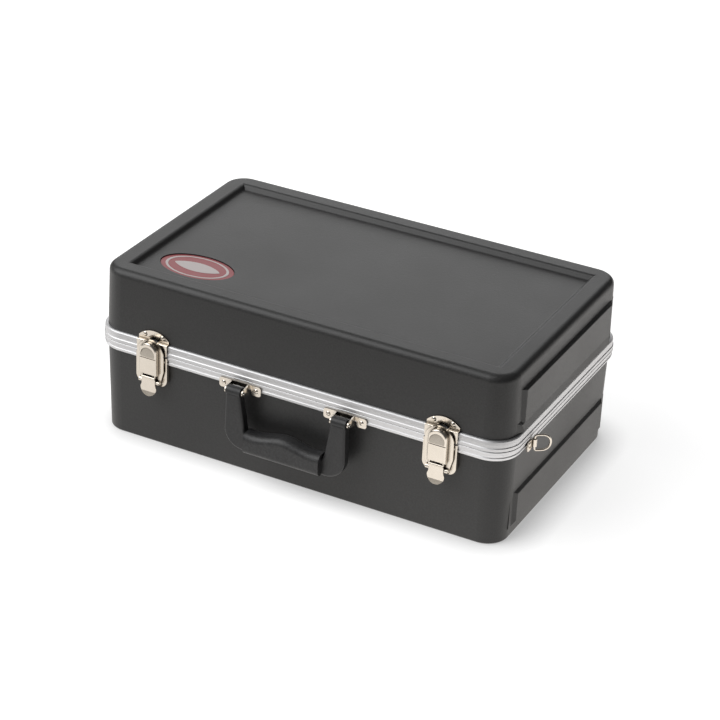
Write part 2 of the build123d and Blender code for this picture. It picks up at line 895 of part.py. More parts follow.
def hook_plate():
    """The hook: a round-topped boss in a flat rim, with a scooped window and knuckles on the lever's pin."""
    inner_width = hook_boss_width - 2 * plate_thickness
    boss_apex = parting + hook_boss_apex
    rim_apex = parting + hook_rim_apex
    rim_centre = rim_apex - hook_rim_width / 2
    window_z = parting + hook_window_centre
    sill = parting + hook_window_sill
    window_back = hook_front - hook_window_depth
    window_top = window_z + hook_window_radius
    window_mouth = hook_front + hook_window_depth
    lip_back = plate_front + hook_lip_gap
    with BuildPart() as window:
        with BuildSketch(Plane.XZ.offset(window_back)):
            window_shape(hook_window_radius, window_z, sill)
        extrude(amount=window_mouth - window_back)
        with BuildSketch(Plane.YZ):
            with BuildLine():
                Polyline(
                    (-window_back, window_top),
                    (-hook_front, sill),
                    (-window_mouth, sill),
                    (-window_mouth, window_top),
                    close=True,
                )
            make_face()
        extrude(amount=hook_boss_width, both=True, mode=Mode.INTERSECT)
    with BuildPart() as hook:
        with BuildSketch(Plane.XZ.offset(hook_rim_back)):
            arch(hook_rim_width, throw_z + hook_leg_taper, rim_apex)
            with BuildLine():
                Polyline(
                    (hook_rim_width / 2, throw_z + hook_leg_taper),
                    (hook_leg_width / 2, throw_z),
                    (-hook_leg_width / 2, throw_z),
                    (-hook_rim_width / 2, throw_z + hook_leg_taper),
                    close=True,
                )
            make_face()
        extrude(amount=plate_thickness)
        with BuildSketch(Plane.XZ.offset(hook_rim_back)):
            arch(hook_boss_width, hook_foot, boss_apex)
        extrude(amount=hook_front - hook_rim_back)
        fillet(hook.faces().sort_by(Axis.Y)[0].edges(), hook_boss_round)
        with BuildSketch(Plane.XZ.offset(hook_rim_back)):
            arch(inner_width, hook_foot - hook_boss_width, boss_apex - plate_thickness)
        extrude(amount=hook_front - plate_thickness - hook_rim_back, mode=Mode.SUBTRACT)
        with BuildSketch(Plane.XZ.offset(hook_rim_back)):
            with Locations((0, rim_centre)):
                Circle(hook_rim_width / 2)
                Circle(hook_rim_width / 2 - plate_thickness, mode=Mode.SUBTRACT)
            with Locations((0, rim_centre - hook_rim_width / 2 + hook_lip_foot)):
                Rectangle(hook_rim_width, hook_rim_width, mode=Mode.SUBTRACT)
        extrude(amount=lip_back - hook_rim_back)
        with BuildSketch(Plane.XZ.offset(hook_front - plate_thickness)):
            window_shape(hook_window_radius + plate_thickness, window_z, sill - plate_thickness)
        extrude(amount=-hook_window_depth)
        add(window.part, mode=Mode.SUBTRACT)
        with BuildSketch(Plane.XZ.offset(hook_front)):
            with Locations((0, sill - hook_crease_width)):
                Rectangle(hook_boss_width, hook_crease_width)
        extrude(amount=-hook_crease_depth, mode=Mode.SUBTRACT)
        knuckle_length = hook_leg_width / 2 - hook_knuckle_inset
        for side in (-1, 1):
            low = min(side * hook_knuckle_inset, side * hook_leg_width / 2)
            across(low, low + knuckle_length, pivot_y, throw_z, hook_knuckle_radius)
        bore = latch_pin_radius + running_clearance
        across(-hook_rim_width, hook_rim_width, pivot_y, throw_z, bore, Mode.SUBTRACT)
    return hook.part


for side, x in latch_xs.items():
    place = Location((x, 0, 0))
    save(catch_plate().moved(place), f"latch_catch_{side}")
    save(latch_base().moved(place), f"latch_base_{side}")
    save(latch_lever().moved(place), f"latch_lever_{side}")
    save(hook_plate().moved(place), f"latch_hook_{side}")
    lever_pin = pin(lever_width / 2 + hook_pin_end, pivot_y, pivot_z, latch_pin_radius)
    save(lever_pin.moved(place), f"lever_pin_{side}")
    hook_pin = pin(hook_leg_width / 2 + hook_pin_end, pivot_y, throw_z, latch_pin_radius)
    save(hook_pin.moved(place), f"hook_pin_{side}")

save(rivets(catch_rivet_places, rivet_grip + plate_thickness), "catch_rivets")
save(rivets(latch_rivet_places, rivet_grip + plate_thickness), "latch_rivets")

# Bow handle on two brackets
handle_pivot_y = -(half_width + handle_pivot_out)
handle_foot = bracket_z - handle_drop
grip_core_z = handle_foot + handle_bar_height / 2
bow_plane = Plane.XZ.offset(-handle_pivot_y)

with BuildPart() as handle_bow:
    with BuildSketch(bow_plane):
        with BuildLine():
            FilletPolyline(
                (bracket_x + handle_arm_width / 2, bracket_z),
                (handle_width / 2, handle_foot),
                (-handle_width / 2, handle_foot),
                (-bracket_x - handle_arm_width / 2, bracket_z),
                radius=handle_corner_radius,
            )
            FilletPolyline(
                (-bracket_x + handle_arm_width / 2, bracket_z),
                (-handle_width / 2 + handle_arm_foot, handle_foot + handle_bar_height),
                (handle_width / 2 - handle_arm_foot, handle_foot + handle_bar_height),
                (bracket_x - handle_arm_width / 2, bracket_z),
                radius=handle_inner_radius,
            )
            for side in (-1, 1):
                Line(
                    (side * (bracket_x - handle_arm_width / 2), bracket_z),
                    (side * (bracket_x + handle_arm_width / 2), bracket_z),
                )
        make_face()
    extrude(amount=handle_thickness / 2, both=True)
    fillet(handle_bow.faces().filter_by(Axis.Y).edges(), handle_edge_round)
    for x in bracket_xs.values():
        across(
            x - handle_arm_width / 2,
            x + handle_arm_width / 2,
            handle_pivot_y,
            bracket_z,
            handle_thickness / 2,
        )
    with Locations((0, handle_pivot_y, grip_core_z)):
        Box(grip_length, 2 * handle_thickness, 2 * handle_bar_height, mode=Mode.SUBTRACT)
        Box(grip_length + grip_core_seat, grip_core_thickness, grip_core_height)
    handle_bore = handle_pin_radius + running_clearance
    across(-handle_width, handle_width, handle_pivot_y, bracket_z, handle_bore, Mode.SUBTRACT)
save(handle_bow.part, "handle_bow")

grip_shoulder = handle_foot + grip_height - grip_shoulder_drop
with BuildPart() as handle_grip:
    with BuildSketch(bow_plane.offset(grip_forward)):
        with BuildLine():
            Spline(
                (-grip_length / 2, grip_shoulder),
                (-grip_length / 4, grip_shoulder + grip_ramp),
                (0, grip_shoulder + grip_swell),
                (grip_length / 4, grip_shoulder + grip_ramp),
                (grip_length / 2, grip_shoulder),
            )
            Line((grip_length / 2, grip_shoulder), (grip_length / 2, handle_foot))
            Line((grip_length / 2, handle_foot), (-grip_length / 2, handle_foot))
            Line((-grip_length / 2, handle_foot), (-grip_length / 2, grip_shoulder))
        make_face()
    extrude(amount=grip_thickness / 2, both=True)
    long_edges = handle_grip.edges().filter_by(
        lambda edge: edge.bounding_box().size.X > grip_length / 2
    )
    fillet(long_edges, grip_edge_round)
    with Locations((0, handle_pivot_y, grip_core_z)):
        Box(grip_length + grip_core_seat, grip_core_thickness, grip_core_height, mode=Mode.SUBTRACT)
save(handle_grip.part, "handle_grip")


def handle_bracket():
    """A strap with two riveted eyes and two ears that hold the handle's pin."""
    ear_face = handle_arm_width / 2 + bracket_ear_gap
    with BuildPart() as bracket:
        with BuildSketch(Plane.XZ.offset(half_width)):
            with Locations((-bracket_eye_spacing / 2, bracket_z), (bracket_eye_spacing / 2, bracket_z)):
                RectangleRounded(2 * bracket_eye_radius, 2 * bracket_eye_radius, bracket_corner)
            with Locations((0, bracket_z + bracket_eye_radius - bracket_strap_height / 2)):
                Rectangle(bracket_eye_spacing, bracket_strap_height)
        extrude(amount=plate_thickness)
        for side in (-1, 1):
            with BuildSketch(Plane.YZ.offset(side * (ear_face + plate_thickness / 2))):
                with Locations((handle_pivot_y, bracket_z)):
                    Circle(bracket_ear_tip)
                with Locations((-half_width - plate_thickness / 2, bracket_z)):
                    Rectangle(plate_thickness, 2 * bracket_eye_radius)
                make_hull()
            extrude(amount=plate_thickness / 2, both=True)
        bore = handle_pin_radius + fixed_clearance
        across(-bracket_eye_spacing, bracket_eye_spacing, handle_pivot_y, bracket_z, bore, Mode.SUBTRACT)
        holes = [
            facing(step * bracket_eye_spacing / 2, -plate_front, bracket_z, (0, -1, 0))
            for step in (-1, 1)
        ]
        drill(holes, rivet_hole_radius, rivet_hole_depth)
    return bracket.part


for side, x in bracket_xs.items():
    place = Location((x, 0, 0))
    save(handle_bracket().moved(place), f"handle_bracket_{side}")
    reach = handle_arm_width / 2 + bracket_ear_gap + plate_thickness + handle_pin_end
    save(pin(reach, handle_pivot_y, bracket_z, handle_pin_radius).moved(place), f"handle_pin_{side}")
save(rivets(bracket_rivet_places, rivet_grip + plate_thickness), "bracket_rivets")

# D-rings, drawn for the right end and mirrored to the left
with BuildSketch(Plane.XZ) as ring_outline:
    with Locations((ring_reach / 2, 0)):
        Rectangle(ring_reach, ring_height)
    fillet(ring_outline.vertices().group_by(Axis.X)[0], ring_corner_radius)
    fillet(ring_outline.vertices().group_by(Axis.X)[-1], (ring_height - ring_tip_flat) / 2)
ring_route = ring_outline.sketch.face().outer_wire()
with BuildPart() as ring_wire:
    with BuildSketch(Plane(origin=ring_route @ 0, z_dir=ring_route % 0)):
        Circle(ring_wire_radius)
    sweep(path=ring_route)
ring_place = Location((ring_axis_x, ring_y, ring_z), (0, 0, ring_rest_angle))
d_ring_right = ring_wire.part.moved(ring_place)

with BuildPart() as d_ring_bracket:
    plate_middle = ring_y - ring_plate_length / 2
    with BuildSketch(Plane(origin=(half_length, 0, 0), x_dir=(0, 1, 0), z_dir=(1, 0, 0))) as ring_plate:
        with Locations((plate_middle, ring_z)):
            Rectangle(ring_plate_length, ring_plate_height)
        fillet(ring_plate.vertices().group_by(Axis.X)[0], ring_plate_corner)
    extrude(amount=plate_thickness)
    with Locations((ring_axis_x, ring_y, ring_z)):
        Cylinder(ring_barrel_radius, ring_barrel_height)
        Cylinder(ring_wire_radius + running_clearance, ring_plate_height * 2, mode=Mode.SUBTRACT)
    with Locations((half_length + plate_thickness / 2, ring_y, ring_z)):
        for side in (-1, 1):
            with Locations((0, 0, side * (ring_barrel_height / 2 + ring_plate_height / 2))):
                Box(plate_thickness * 4, 4 * ring_barrel_radius, ring_plate_height, mode=Mode.SUBTRACT)
    drill([ring_rivet_places[1]], rivet_hole_radius, rivet_hole_depth)
for side, flip in (("left", True), ("right", False)):
    bracket = d_ring_bracket.part.mirror(Plane.YZ) if flip else d_ring_bracket.part
    loop = d_ring_right.mirror(Plane.YZ) if flip else d_ring_right
    save(bracket, f"d_ring_bracket_{side}")
    save(loop, f"d_ring_{side}")
save(rivets(ring_rivet_places, rivet_grip + plate_thickness), "d_ring_rivets")


def hinge_leaf(sense, knuckles):
    """One leaf of a butt hinge on the valance's back; sense is +1 for the lid's leaf, -1 for the base's."""
    knuckle_length = hinge_length / hinge_knuckles
    clear = hinge_knuckle_radius + hinge_knuckle_clear
    with BuildPart() as leaf:
        with BuildSketch(Plane.XZ.offset(-half_width)):
            with Locations((0, parting + sense * (parting_gap + hinge_leaf_height) / 2)):
                Rectangle(hinge_length, hinge_leaf_height - parting_gap)
        extrude(amount=-plate_thickness)
        for n in range(hinge_knuckles):
            middle = (n - (hinge_knuckles - 1) / 2) * knuckle_length
            if n in knuckles:
                half = knuckle_length / 2 - hinge_knuckle_gap / 2
                across(middle - half, middle + half, hinge_axis_y, parting, hinge_knuckle_radius)
            else:
                with Locations((middle, half_width, parting)):
                    Box(knuckle_length + hinge_knuckle_gap, 6 * clear, 2 * clear, mode=Mode.SUBTRACT)
        bore = hinge_pin_radius + (running_clearance if sense > 0 else fixed_clearance)
        across(-hinge_length, hinge_length, hinge_axis_y, parting, bore, Mode.SUBTRACT)
        rivet_z = parting + sense * hinge_rivet_rise
        holes = [
            facing(step * hinge_rivet_step, half_width + plate_thickness, rivet_z, (0, 1, 0))
            for step in (-1, 1)
        ]
        drill(holes, rivet_hole_radius, rivet_hole_depth)
    return leaf.part


for side, x in hinge_xs.items():
    place = Location((x, 0, 0))
    save(hinge_leaf(-1, (0, 2, 4)).moved(place), f"hinge_base_leaf_{side}")
    save(hinge_leaf(1, (1, 3)).moved(place), f"hinge_lid_leaf_{side}")
    save(pin(hinge_length / 2, hinge_axis_y, parting, hinge_pin_radius).moved(place), f"hinge_pin_{side}")
save(rivets(hinge_base_places, rivet_grip + plate_thickness), "hinge_base_rivets")
save(rivets(hinge_lid_places, rivet_grip + plate_thickness), "hinge_lid_rivets")
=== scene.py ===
"""The looks of a hard-shell cornet case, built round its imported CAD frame. Lengths are metres."""
import json
from math import cos, pi, radians, sin

import bpy
from mathutils import Matrix, Vector


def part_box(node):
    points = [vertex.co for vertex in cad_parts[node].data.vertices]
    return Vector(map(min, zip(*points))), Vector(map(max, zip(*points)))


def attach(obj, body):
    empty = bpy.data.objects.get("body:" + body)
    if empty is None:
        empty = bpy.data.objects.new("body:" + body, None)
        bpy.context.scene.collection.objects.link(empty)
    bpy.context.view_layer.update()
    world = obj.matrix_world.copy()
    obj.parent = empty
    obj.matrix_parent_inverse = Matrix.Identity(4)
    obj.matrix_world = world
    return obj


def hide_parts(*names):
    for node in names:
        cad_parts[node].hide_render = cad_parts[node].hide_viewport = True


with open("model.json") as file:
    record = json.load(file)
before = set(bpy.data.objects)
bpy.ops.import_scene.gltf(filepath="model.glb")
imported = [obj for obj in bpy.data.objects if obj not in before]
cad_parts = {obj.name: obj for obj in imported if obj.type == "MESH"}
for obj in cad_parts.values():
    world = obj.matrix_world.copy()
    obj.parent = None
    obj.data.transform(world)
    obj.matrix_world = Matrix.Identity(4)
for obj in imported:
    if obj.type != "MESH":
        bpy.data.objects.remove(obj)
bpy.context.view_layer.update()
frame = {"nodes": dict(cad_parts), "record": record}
NODES = frame["nodes"]

# Camera, fitted to the photograph's perspective
PHOTO_SIDE = 720
SENSOR_WIDTH = 36.0
FOCAL_PIXELS = 2378.5
CAMERA_AZIMUTH = 26.52
CAMERA_ELEVATION = 28.537
CAMERA_ROLL = 2.705
CAMERA_DISTANCE = 2.3069
CAMERA_CLIP = (0.1, 60.0)
AIM_HEIGHT = 0.080
AIM_RIGHT = 0.00109
AIM_UP = -0.0036

# Floor: its own tone, the glow that the camera sees, and how both weaken where the case stands: the tone in
# the lamps' shadow, the glow by a painted contact shadow
FLOOR_SIDE = 12.0
FLOOR_TONE = 0.55
FLOOR_ROUGHNESS = 0.9
FLOOR_SPECULAR = 0.1
FLOOR_GLOW = 0.82
# Painted contact shadow in the camera's glow: its reach, occlusion span and darkest strength
CONTACT_REACH = 0.035
CONTACT_OPEN = (0.5, 1.0)
CONTACT_SHADE = 0.42
FADE_FROM = 0.8
FADE_TO = 2.0

# Floor as reflections see it: bright round the case, dusky further ahead, and brighter to the right
MIRROR_AHEAD = (-0.62, -0.38)
MIRROR_NEAR = 0.66
MIRROR_FAR = 0.12
MIRROR_SIDE = (-0.15, 0.2)
MIRROR_RIGHT = 1.6
MIRROR_DUSK = (0.15, 0.14, 0.125, 1)
MIRROR_WARMTH = (1, 0.97, 0.935, 1)

# Room and softboxes: name, place, size and radiance
WHITE = (1, 1, 1, 1)
AMBIENT = 0.10
LAMP_AIM = (0, 0, 0.1)
LAMPS = (
    ("key", (-1.4, -1.17, 1.83), (2.4, 2.4), 3.0),
    ("back", (-0.98, 1.97, 1.2), (2.4, 1.6), 1.4),
)

# Tones of each finish
SHELL_TONES = ((0.036, 0.0358, 0.036, 1), (0.043, 0.0425, 0.042, 1))
SHELL_SPECK = (0.028, 0.028, 0.028, 1)
BOW_TONES = ((0.022, 0.022, 0.023, 1), (0.034, 0.034, 0.035, 1))
GRIP_TONES = ((0.022, 0.022, 0.023, 1), (0.042, 0.042, 0.043, 1))
ALUMINIUM_TONES = ((0.66, 0.66, 0.67, 1), (0.82, 0.82, 0.83, 1))
# Painted shade that darkens the valance's grooves
ALUMINIUM_GROOVE_SHADE = (0.34, 0.34, 0.34, 1)
NICKEL_TONES = ((0.64, 0.585, 0.51, 1), (0.76, 0.70, 0.62, 1))
# Painted brown shade in the plates' recesses
NICKEL_RECESS_SHADE = (0.07, 0.055, 0.04, 1)
PIN_TONES = ((0.66, 0.65, 0.62, 1), (0.78, 0.77, 0.74, 1))
PLUSH_TONES = ((0.012, 0.012, 0.014, 1), (0.045, 0.045, 0.05, 1))
RED_TONES = ((0.27, 0.03, 0.037, 1), (0.33, 0.042, 0.05, 1))
PRINT_TONES = ((0.50, 0.44, 0.43, 1), (0.60, 0.54, 0.53, 1))

# Roughness of each finish, lowest and highest
SHELL_ROUGHNESS = (0.40, 0.46)
SHELL_SPECK_ROUGHNESS = (-0.05, 0.05)
HANDLE_ROUGHNESS = (0.40, 0.50)
ALUMINIUM_ROUGHNESS = (0.50, 0.62)
NICKEL_ROUGHNESS = (0.15, 0.24)
PIN_ROUGHNESS = (0.2, 0.3)
PLUSH_ROUGHNESS = (0.85, 0.95)
RED_ROUGHNESS = (0.3, 0.4)
PRINT_ROUGHNESS = (0.34, 0.44)

# Fineness of each grain, and its depth
NOISE_SPAN = (0.3, 0.7)
SHELL_BLOOM = 9.0
SHELL_BLOOM_SPAN = (0.35, 0.7)
SHELL_SPECKLE = 620.0
SPECKLE_SPAN = (0.35, 0.65)
SHELL_GRAIN = 1300.0
SHELL_PORES = 480.0
SHELL_PORE_SHARE = 1.8
SHELL_DEPTH = 0.00012
HANDLE_CLOUD = 40.0
HANDLE_CREASES = 420.0
BOW_DEPTH = 0.0001
GRIP_DEPTH = 0.0004
ALUMINIUM_STREAKS = 60.0
ALUMINIUM_STRETCH = (0.25, 0.25, 60.0)
ALUMINIUM_DEPTH = 0.00004
# Reach and span of the painted shade in the valance's grooves
GROOVE_REACH = 0.0018
GROOVE_OPEN = (0.2, 0.6)
NICKEL_CLOUD = 160.0
NICKEL_RIPPLE = 500.0
NICKEL_DEPTH = 0.00003
# Reach and span of the painted shade in the plates' recesses
RECESS_REACH = 0.005
RECESS_OPEN = (0.35, 0.85)
PIN_STREAKS = 300.0
PIN_STRETCH = (8.0, 1.0, 1.0)
PLUSH_NAP = 14.0
PLUSH_PILE = 1300.0
PLUSH_PILE_SHARE = 0.4
PLUSH_DEPTH = 0.0004
PLUSH_SHEEN = 0.6
PLUSH_SHEEN_ROUGHNESS = 0.4
RED_CLOUD = 70.0
PRINT_CLOUD = 90.0

# Plush beds
PLUSH_VOXEL = 0.0055
PLUSH_INSET = 0.0032
PLUSH_SWELL = 0.0026
PLUSH_PRESSURE = 4.0
PLUSH_FRAMES = 20
PLUSH_ROUNDING = 5

# Plain emblem on the badge, as shares of its half axes
RING_OUTER = 0.86
RING_INNER = 0.79
LENS_LONG = 0.64
LENS_TALL = 0.38
LENS_PINCH = 1.6
EMBLEM_HEIGHT = 0.00018
EMBLEM_STEPS = 96


def camera_axes():
    """The camera's right, up and backward directions."""
    azimuth = radians(CAMERA_AZIMUTH)
    elevation = radians(CAMERA_ELEVATION)
    roll = radians(CAMERA_ROLL)
    back = Vector((sin(azimuth) * cos(elevation), -cos(azimuth) * cos(elevation), sin(elevation)))
    level = Vector((cos(azimuth), sin(azimuth), 0))
    upright = back.cross(level)
    right = level * cos(roll) + upright * sin(roll)
    up = upright * cos(roll) - level * sin(roll)
    return right, up, back


def in_scene(name, data):
    """A new object in the scene's collection."""
    made = bpy.data.objects.new(name, data)
    bpy.context.scene.collection.objects.link(made)
    return made


def make_camera():
    """The photograph's viewpoint."""
    right, up, back = camera_axes()
    data = bpy.data.cameras.new("camera")
    data.sensor_width = SENSOR_WIDTH
    data.lens = FOCAL_PIXELS / PHOTO_SIDE * SENSOR_WIDTH
    data.clip_start, data.clip_end = CAMERA_CLIP
    camera = in_scene("camera", data)
    aim = Vector((0, 0, AIM_HEIGHT)) + right * AIM_RIGHT + up * AIM_UP
    turn = Matrix((right, up, back)).transposed().to_4x4()
    camera.matrix_world = Matrix.Translation(aim + back * CAMERA_DISTANCE) @ turn
    bpy.context.scene.camera = camera


class Nodes:
    """A short way to build a material's or the world's node tree."""

    def __init__(self, tree):
        self.tree = tree
        tree.nodes.clear()

    def add(self, kind, settings=None, **inputs):
        """Adds a node, sets its properties, and links or sets its inputs by name."""
        node = self.tree.nodes.new(kind)
        for key, value in (settings or {}).items():
            setattr(node, key, value)
        for key, value in inputs.items():
            self.feed(node, key.replace("_", " "), value)
        return node

    def feed(self, node, key, value):
        """Sets an input, or links it when the value is an output. The key is its name or its number."""
        socket = node.inputs[key]
        if isinstance(value, bpy.types.NodeSocket):
            self.tree.links.new(value, socket)
        else:
            socket.default_value = value

    def math(self, operation, first, second):
        """An operation on two values."""
        node = self.add("ShaderNodeMath", {"operation": operation})
        self.feed(node, 0, first)
        self.feed(node, 1, second)
        return node.outputs[0]

    def mix(self, factor, first, second):
        """A mix of two colours."""
        node = self.add("ShaderNodeMix", {"data_type": "RGBA"})
        for number, value in ((0, factor), (6, first), (7, second)):
            self.feed(node, number, value)
        return node.outputs[2]

    def ramp(self, value, span=NOISE_SPAN, onto=(0.0, 1.0)):
        """Maps a range of a value onto another range, and holds it there."""
        node = self.add("ShaderNodeMapRange", {"clamp": True})
        for number, item in enumerate((value, *span, *onto)):
            self.feed(node, number, item)
        return node.outputs[0]

    def place(self, scale=(1, 1, 1)):
        """Object coordinates, stretched."""
        where = self.add("ShaderNodeTexCoord").outputs["Object"]
        return self.add("ShaderNodeMapping", Vector=where, Scale=scale).outputs[0]

    def noise(self, fineness, detail=3.0, roughness=0.5, stretch=(1, 1, 1)):
        """Clouds of noise, about 0.3 to 0.7 for the most part."""
        node = self.add(
            "ShaderNodeTexNoise",
            Vector=self.place(stretch),
            Scale=fineness,
            Detail=detail,
            Roughness=roughness,
        )
        return node.outputs[0]

    def openness(self, reach, span):
        """One on open surfaces, and towards zero in crevices."""
        node = self.add("ShaderNodeAmbientOcclusion", {"samples": 8}, Distance=reach)
        return self.ramp(node.outputs["AO"], span)

    def bump(self, height, depth, strength):
        """The normal of a surface with a fine relief."""
        return self.add("ShaderNodeBump", Height=height, Distance=depth, Strength=strength).outputs[0]


def material(name):
    """A new material with a Principled shader, and the builder of its nodes."""
    made = bpy.data.materials.new(name)
    made.use_nodes = True
    nodes = Nodes(made.node_tree)
    shader = nodes.add("ShaderNodeBsdfPrincipled")
    output = nodes.add("ShaderNodeOutputMaterial", Surface=shader.outputs[0])
    return made, nodes, shader, output


def shell_plastic():
    """Black vacuum-formed plastic with a fine hair-cell grain, and a faint bloom."""
    made, nodes, shader, _ = material("shell_plastic")
    bloom = nodes.noise(SHELL_BLOOM, detail=4.0, roughness=0.6)
    speckle = nodes.noise(SHELL_SPECKLE, roughness=0.6)
    tone = nodes.mix(nodes.ramp(bloom, SHELL_BLOOM_SPAN), *SHELL_TONES)
    nodes.feed(shader, "Base Color", nodes.mix(nodes.ramp(speckle, SPECKLE_SPAN), SHELL_SPECK, tone))
    drift = nodes.ramp(bloom, onto=SHELL_ROUGHNESS)
    fleck = nodes.ramp(speckle, onto=SHELL_SPECK_ROUGHNESS)
    nodes.feed(shader, "Roughness", nodes.math("ADD", drift, fleck))
    grain = nodes.noise(SHELL_GRAIN, detail=2.0, roughness=0.55)
    pores = nodes.noise(SHELL_PORES, roughness=0.6)
    relief = nodes.math("ADD", grain, nodes.math("MULTIPLY", pores, SHELL_PORE_SHARE))
    nodes.feed(shader, "Normal", nodes.bump(relief, SHELL_DEPTH, strength=0.6))
    return made


def handle_plastic(name, tones, depth):
    """Moulded plastic of the bow and the grip, with a leathery grain of a given depth."""
    made, nodes, shader, _ = material(name)
    cloud = nodes.noise(HANDLE_CLOUD)
    creases = nodes.noise(HANDLE_CREASES, detail=4.0, roughness=0.65)
    nodes.feed(shader, "Base Color", nodes.mix(nodes.ramp(creases, SPECKLE_SPAN), *tones))
    nodes.feed(shader, "Roughness", nodes.ramp(cloud, onto=HANDLE_ROUGHNESS))
    nodes.feed(shader, "Normal", nodes.bump(creases, depth, strength=0.7))
    return made


def valance_metal():
    """Satin aluminium, drawn and brushed along its length, with painted shade darkening its grooves."""
    made, nodes, shader, _ = material("valance_metal")
    streaks = nodes.noise(ALUMINIUM_STREAKS, detail=4.0, roughness=0.6, stretch=ALUMINIUM_STRETCH)
    metal = nodes.mix(streaks, *ALUMINIUM_TONES)
    # Painted shade: the metal turns to the groove colour where occlusion finds a crevice
    unshaded = nodes.openness(GROOVE_REACH, GROOVE_OPEN)
    nodes.feed(shader, "Base Color", nodes.mix(unshaded, ALUMINIUM_GROOVE_SHADE, metal))
    nodes.feed(shader, "Metallic", 1.0)
    nodes.feed(shader, "Roughness", nodes.ramp(streaks, onto=ALUMINIUM_ROUGHNESS))
    nodes.feed(shader, "Normal", nodes.bump(streaks, ALUMINIUM_DEPTH, strength=0.45))
    return made


def plated_steel():
    """Warm bright nickel plate over pressed steel, with painted brown shade in its recesses."""
    made, nodes, shader, _ = material("plated_steel")
    cloud = nodes.noise(NICKEL_CLOUD)
    metal = nodes.mix(cloud, *NICKEL_TONES)
    # Painted shade: the plate turns dark brown where occlusion finds a recess
    unshaded = nodes.openness(RECESS_REACH, RECESS_OPEN)
    nodes.feed(shader, "Base Color", nodes.mix(unshaded, NICKEL_RECESS_SHADE, metal))
    nodes.feed(shader, "Metallic", 1.0)
    nodes.feed(shader, "Roughness", nodes.ramp(cloud, onto=NICKEL_ROUGHNESS))
    ripple = nodes.noise(NICKEL_RIPPLE, detail=2.0)
    nodes.feed(shader, "Normal", nodes.bump(ripple, NICKEL_DEPTH, strength=0.25))
    return made


def pin_steel():
    """Bright drawn steel of the pins."""
    made, nodes, shader, _ = material("pin_steel")
    streaks = nodes.noise(PIN_STREAKS, stretch=PIN_STRETCH)
    nodes.feed(shader, "Base Color", nodes.mix(streaks, *PIN_TONES))
    nodes.feed(shader, "Metallic", 1.0)
    nodes.feed(shader, "Roughness", nodes.ramp(streaks, onto=PIN_ROUGHNESS))
    return made


def plush():
    """Short-pile plush over foam."""
    made, nodes, shader, _ = material("plush")
    nap = nodes.noise(PLUSH_NAP, detail=4.0, roughness=0.6)
    pile = nodes.noise(PLUSH_PILE, detail=2.0, roughness=0.6)
    broad = nodes.math("MULTIPLY", nap, 1.0 - PLUSH_PILE_SHARE)
    shade = nodes.math("ADD", broad, nodes.math("MULTIPLY", pile, PLUSH_PILE_SHARE))
    nodes.feed(shader, "Base Color", nodes.mix(shade, *PLUSH_TONES))
    nodes.feed(shader, "Roughness", nodes.ramp(nap, onto=PLUSH_ROUGHNESS))
    nodes.feed(shader, "Sheen Weight", PLUSH_SHEEN)
    nodes.feed(shader, "Sheen Roughness", PLUSH_SHEEN_ROUGHNESS)
    nodes.feed(shader, "Normal", nodes.bump(pile, PLUSH_DEPTH, strength=0.6))
    return made


def clouded(name, tones, fineness, roughness):
    """A smooth finish whose tone and gloss drift a little: the badge's enamel and its print."""
    made, nodes, shader, _ = material(name)
    cloud = nodes.noise(fineness)
    nodes.feed(shader, "Base Color", nodes.mix(cloud, *tones))
    nodes.feed(shader, "Roughness", nodes.ramp(cloud, onto=roughness))
    return made


def bake_modifiers(piece):
    """Replaces a piece's mesh by what its modifiers make of it."""
    graph = bpy.context.evaluated_depsgraph_get()
    made = bpy.data.meshes.new_from_object(piece.evaluated_get(graph))
    piece.modifiers.clear()
    piece.data = made


def puff(piece):
    """Swells a closed fabric by cloth pressure, with no point moving further than the swell allowed."""
    start = [vertex.co.copy() for vertex in piece.data.vertices]
    cloth = piece.modifiers.new("pressure", "CLOTH")
    cloth.settings.use_pressure = True
    cloth.settings.uniform_pressure_force = PLUSH_PRESSURE
    cloth.settings.effector_weights.gravity = 0.0
    cloth.point_cache.frame_end = PLUSH_FRAMES
    for number in range(1, PLUSH_FRAMES + 1):
        bpy.context.scene.frame_set(number)
    bake_modifiers(piece)
    bpy.context.scene.frame_set(1)
    for vertex, origin in zip(piece.data.vertices, start):
        move = vertex.co - origin
        if move.length > PLUSH_SWELL:
            vertex.co = origin + move * (PLUSH_SWELL / move.length)


def plush_bed(node, body, look):
    """A plush-covered foam bed in the space of its CAD block: evenly meshed, rounded, drawn in and puffed."""
    piece = in_scene(f"{node}_plush", NODES[node].data.copy())
    even = piece.modifiers.new("even", "REMESH")
    even.mode = "VOXEL"
    even.voxel_size = PLUSH_VOXEL
    soften = piece.modifiers.new("soften", "SMOOTH")
    soften.iterations = PLUSH_ROUNDING
    inset = piece.modifiers.new("inset", "DISPLACE")
    inset.mid_level = 0.0
    inset.strength = -PLUSH_INSET
    bake_modifiers(piece)
    puff(piece)
    finer = piece.modifiers.new("finer", "SUBSURF")
    finer.levels = 1
    finer.render_levels = 1
    bake_modifiers(piece)
    piece.data.polygons.foreach_set("use_smooth", [True] * len(piece.data.polygons))
    piece.data.materials.clear()
    piece.data.materials.append(look)
    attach(piece, body)
    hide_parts(node)


def raised_shape(name, outer, inner, base_z, look):
    """A low raised print between two closed outlines, or inside one when there is no inner outline."""
    count = len(outer)
    points = []
    for outline in filter(None, (outer, inner)):
        for z in (base_z - EMBLEM_HEIGHT, base_z + EMBLEM_HEIGHT):
            points.extend((x, y, z) for x, y in outline)
    faces = []
    for n in range(count):
        following = (n + 1) % count
        faces.append((n, following, count + following, count + n))
        if inner:
            faces.append((2 * count + following, 2 * count + n, 3 * count + n, 3 * count + following))
            faces.append((count + n, count + following, 3 * count + following, 3 * count + n))
            faces.append((following, n, 2 * count + n, 2 * count + following))
    if not inner:
        faces.append(tuple(range(count, 2 * count)))
        faces.append(tuple(reversed(range(count))))
    mesh = bpy.data.meshes.new(name)
    mesh.from_pydata(points, [], faces)
    mesh.materials.append(look)
    piece = in_scene(name, mesh)
    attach(piece, "lid")


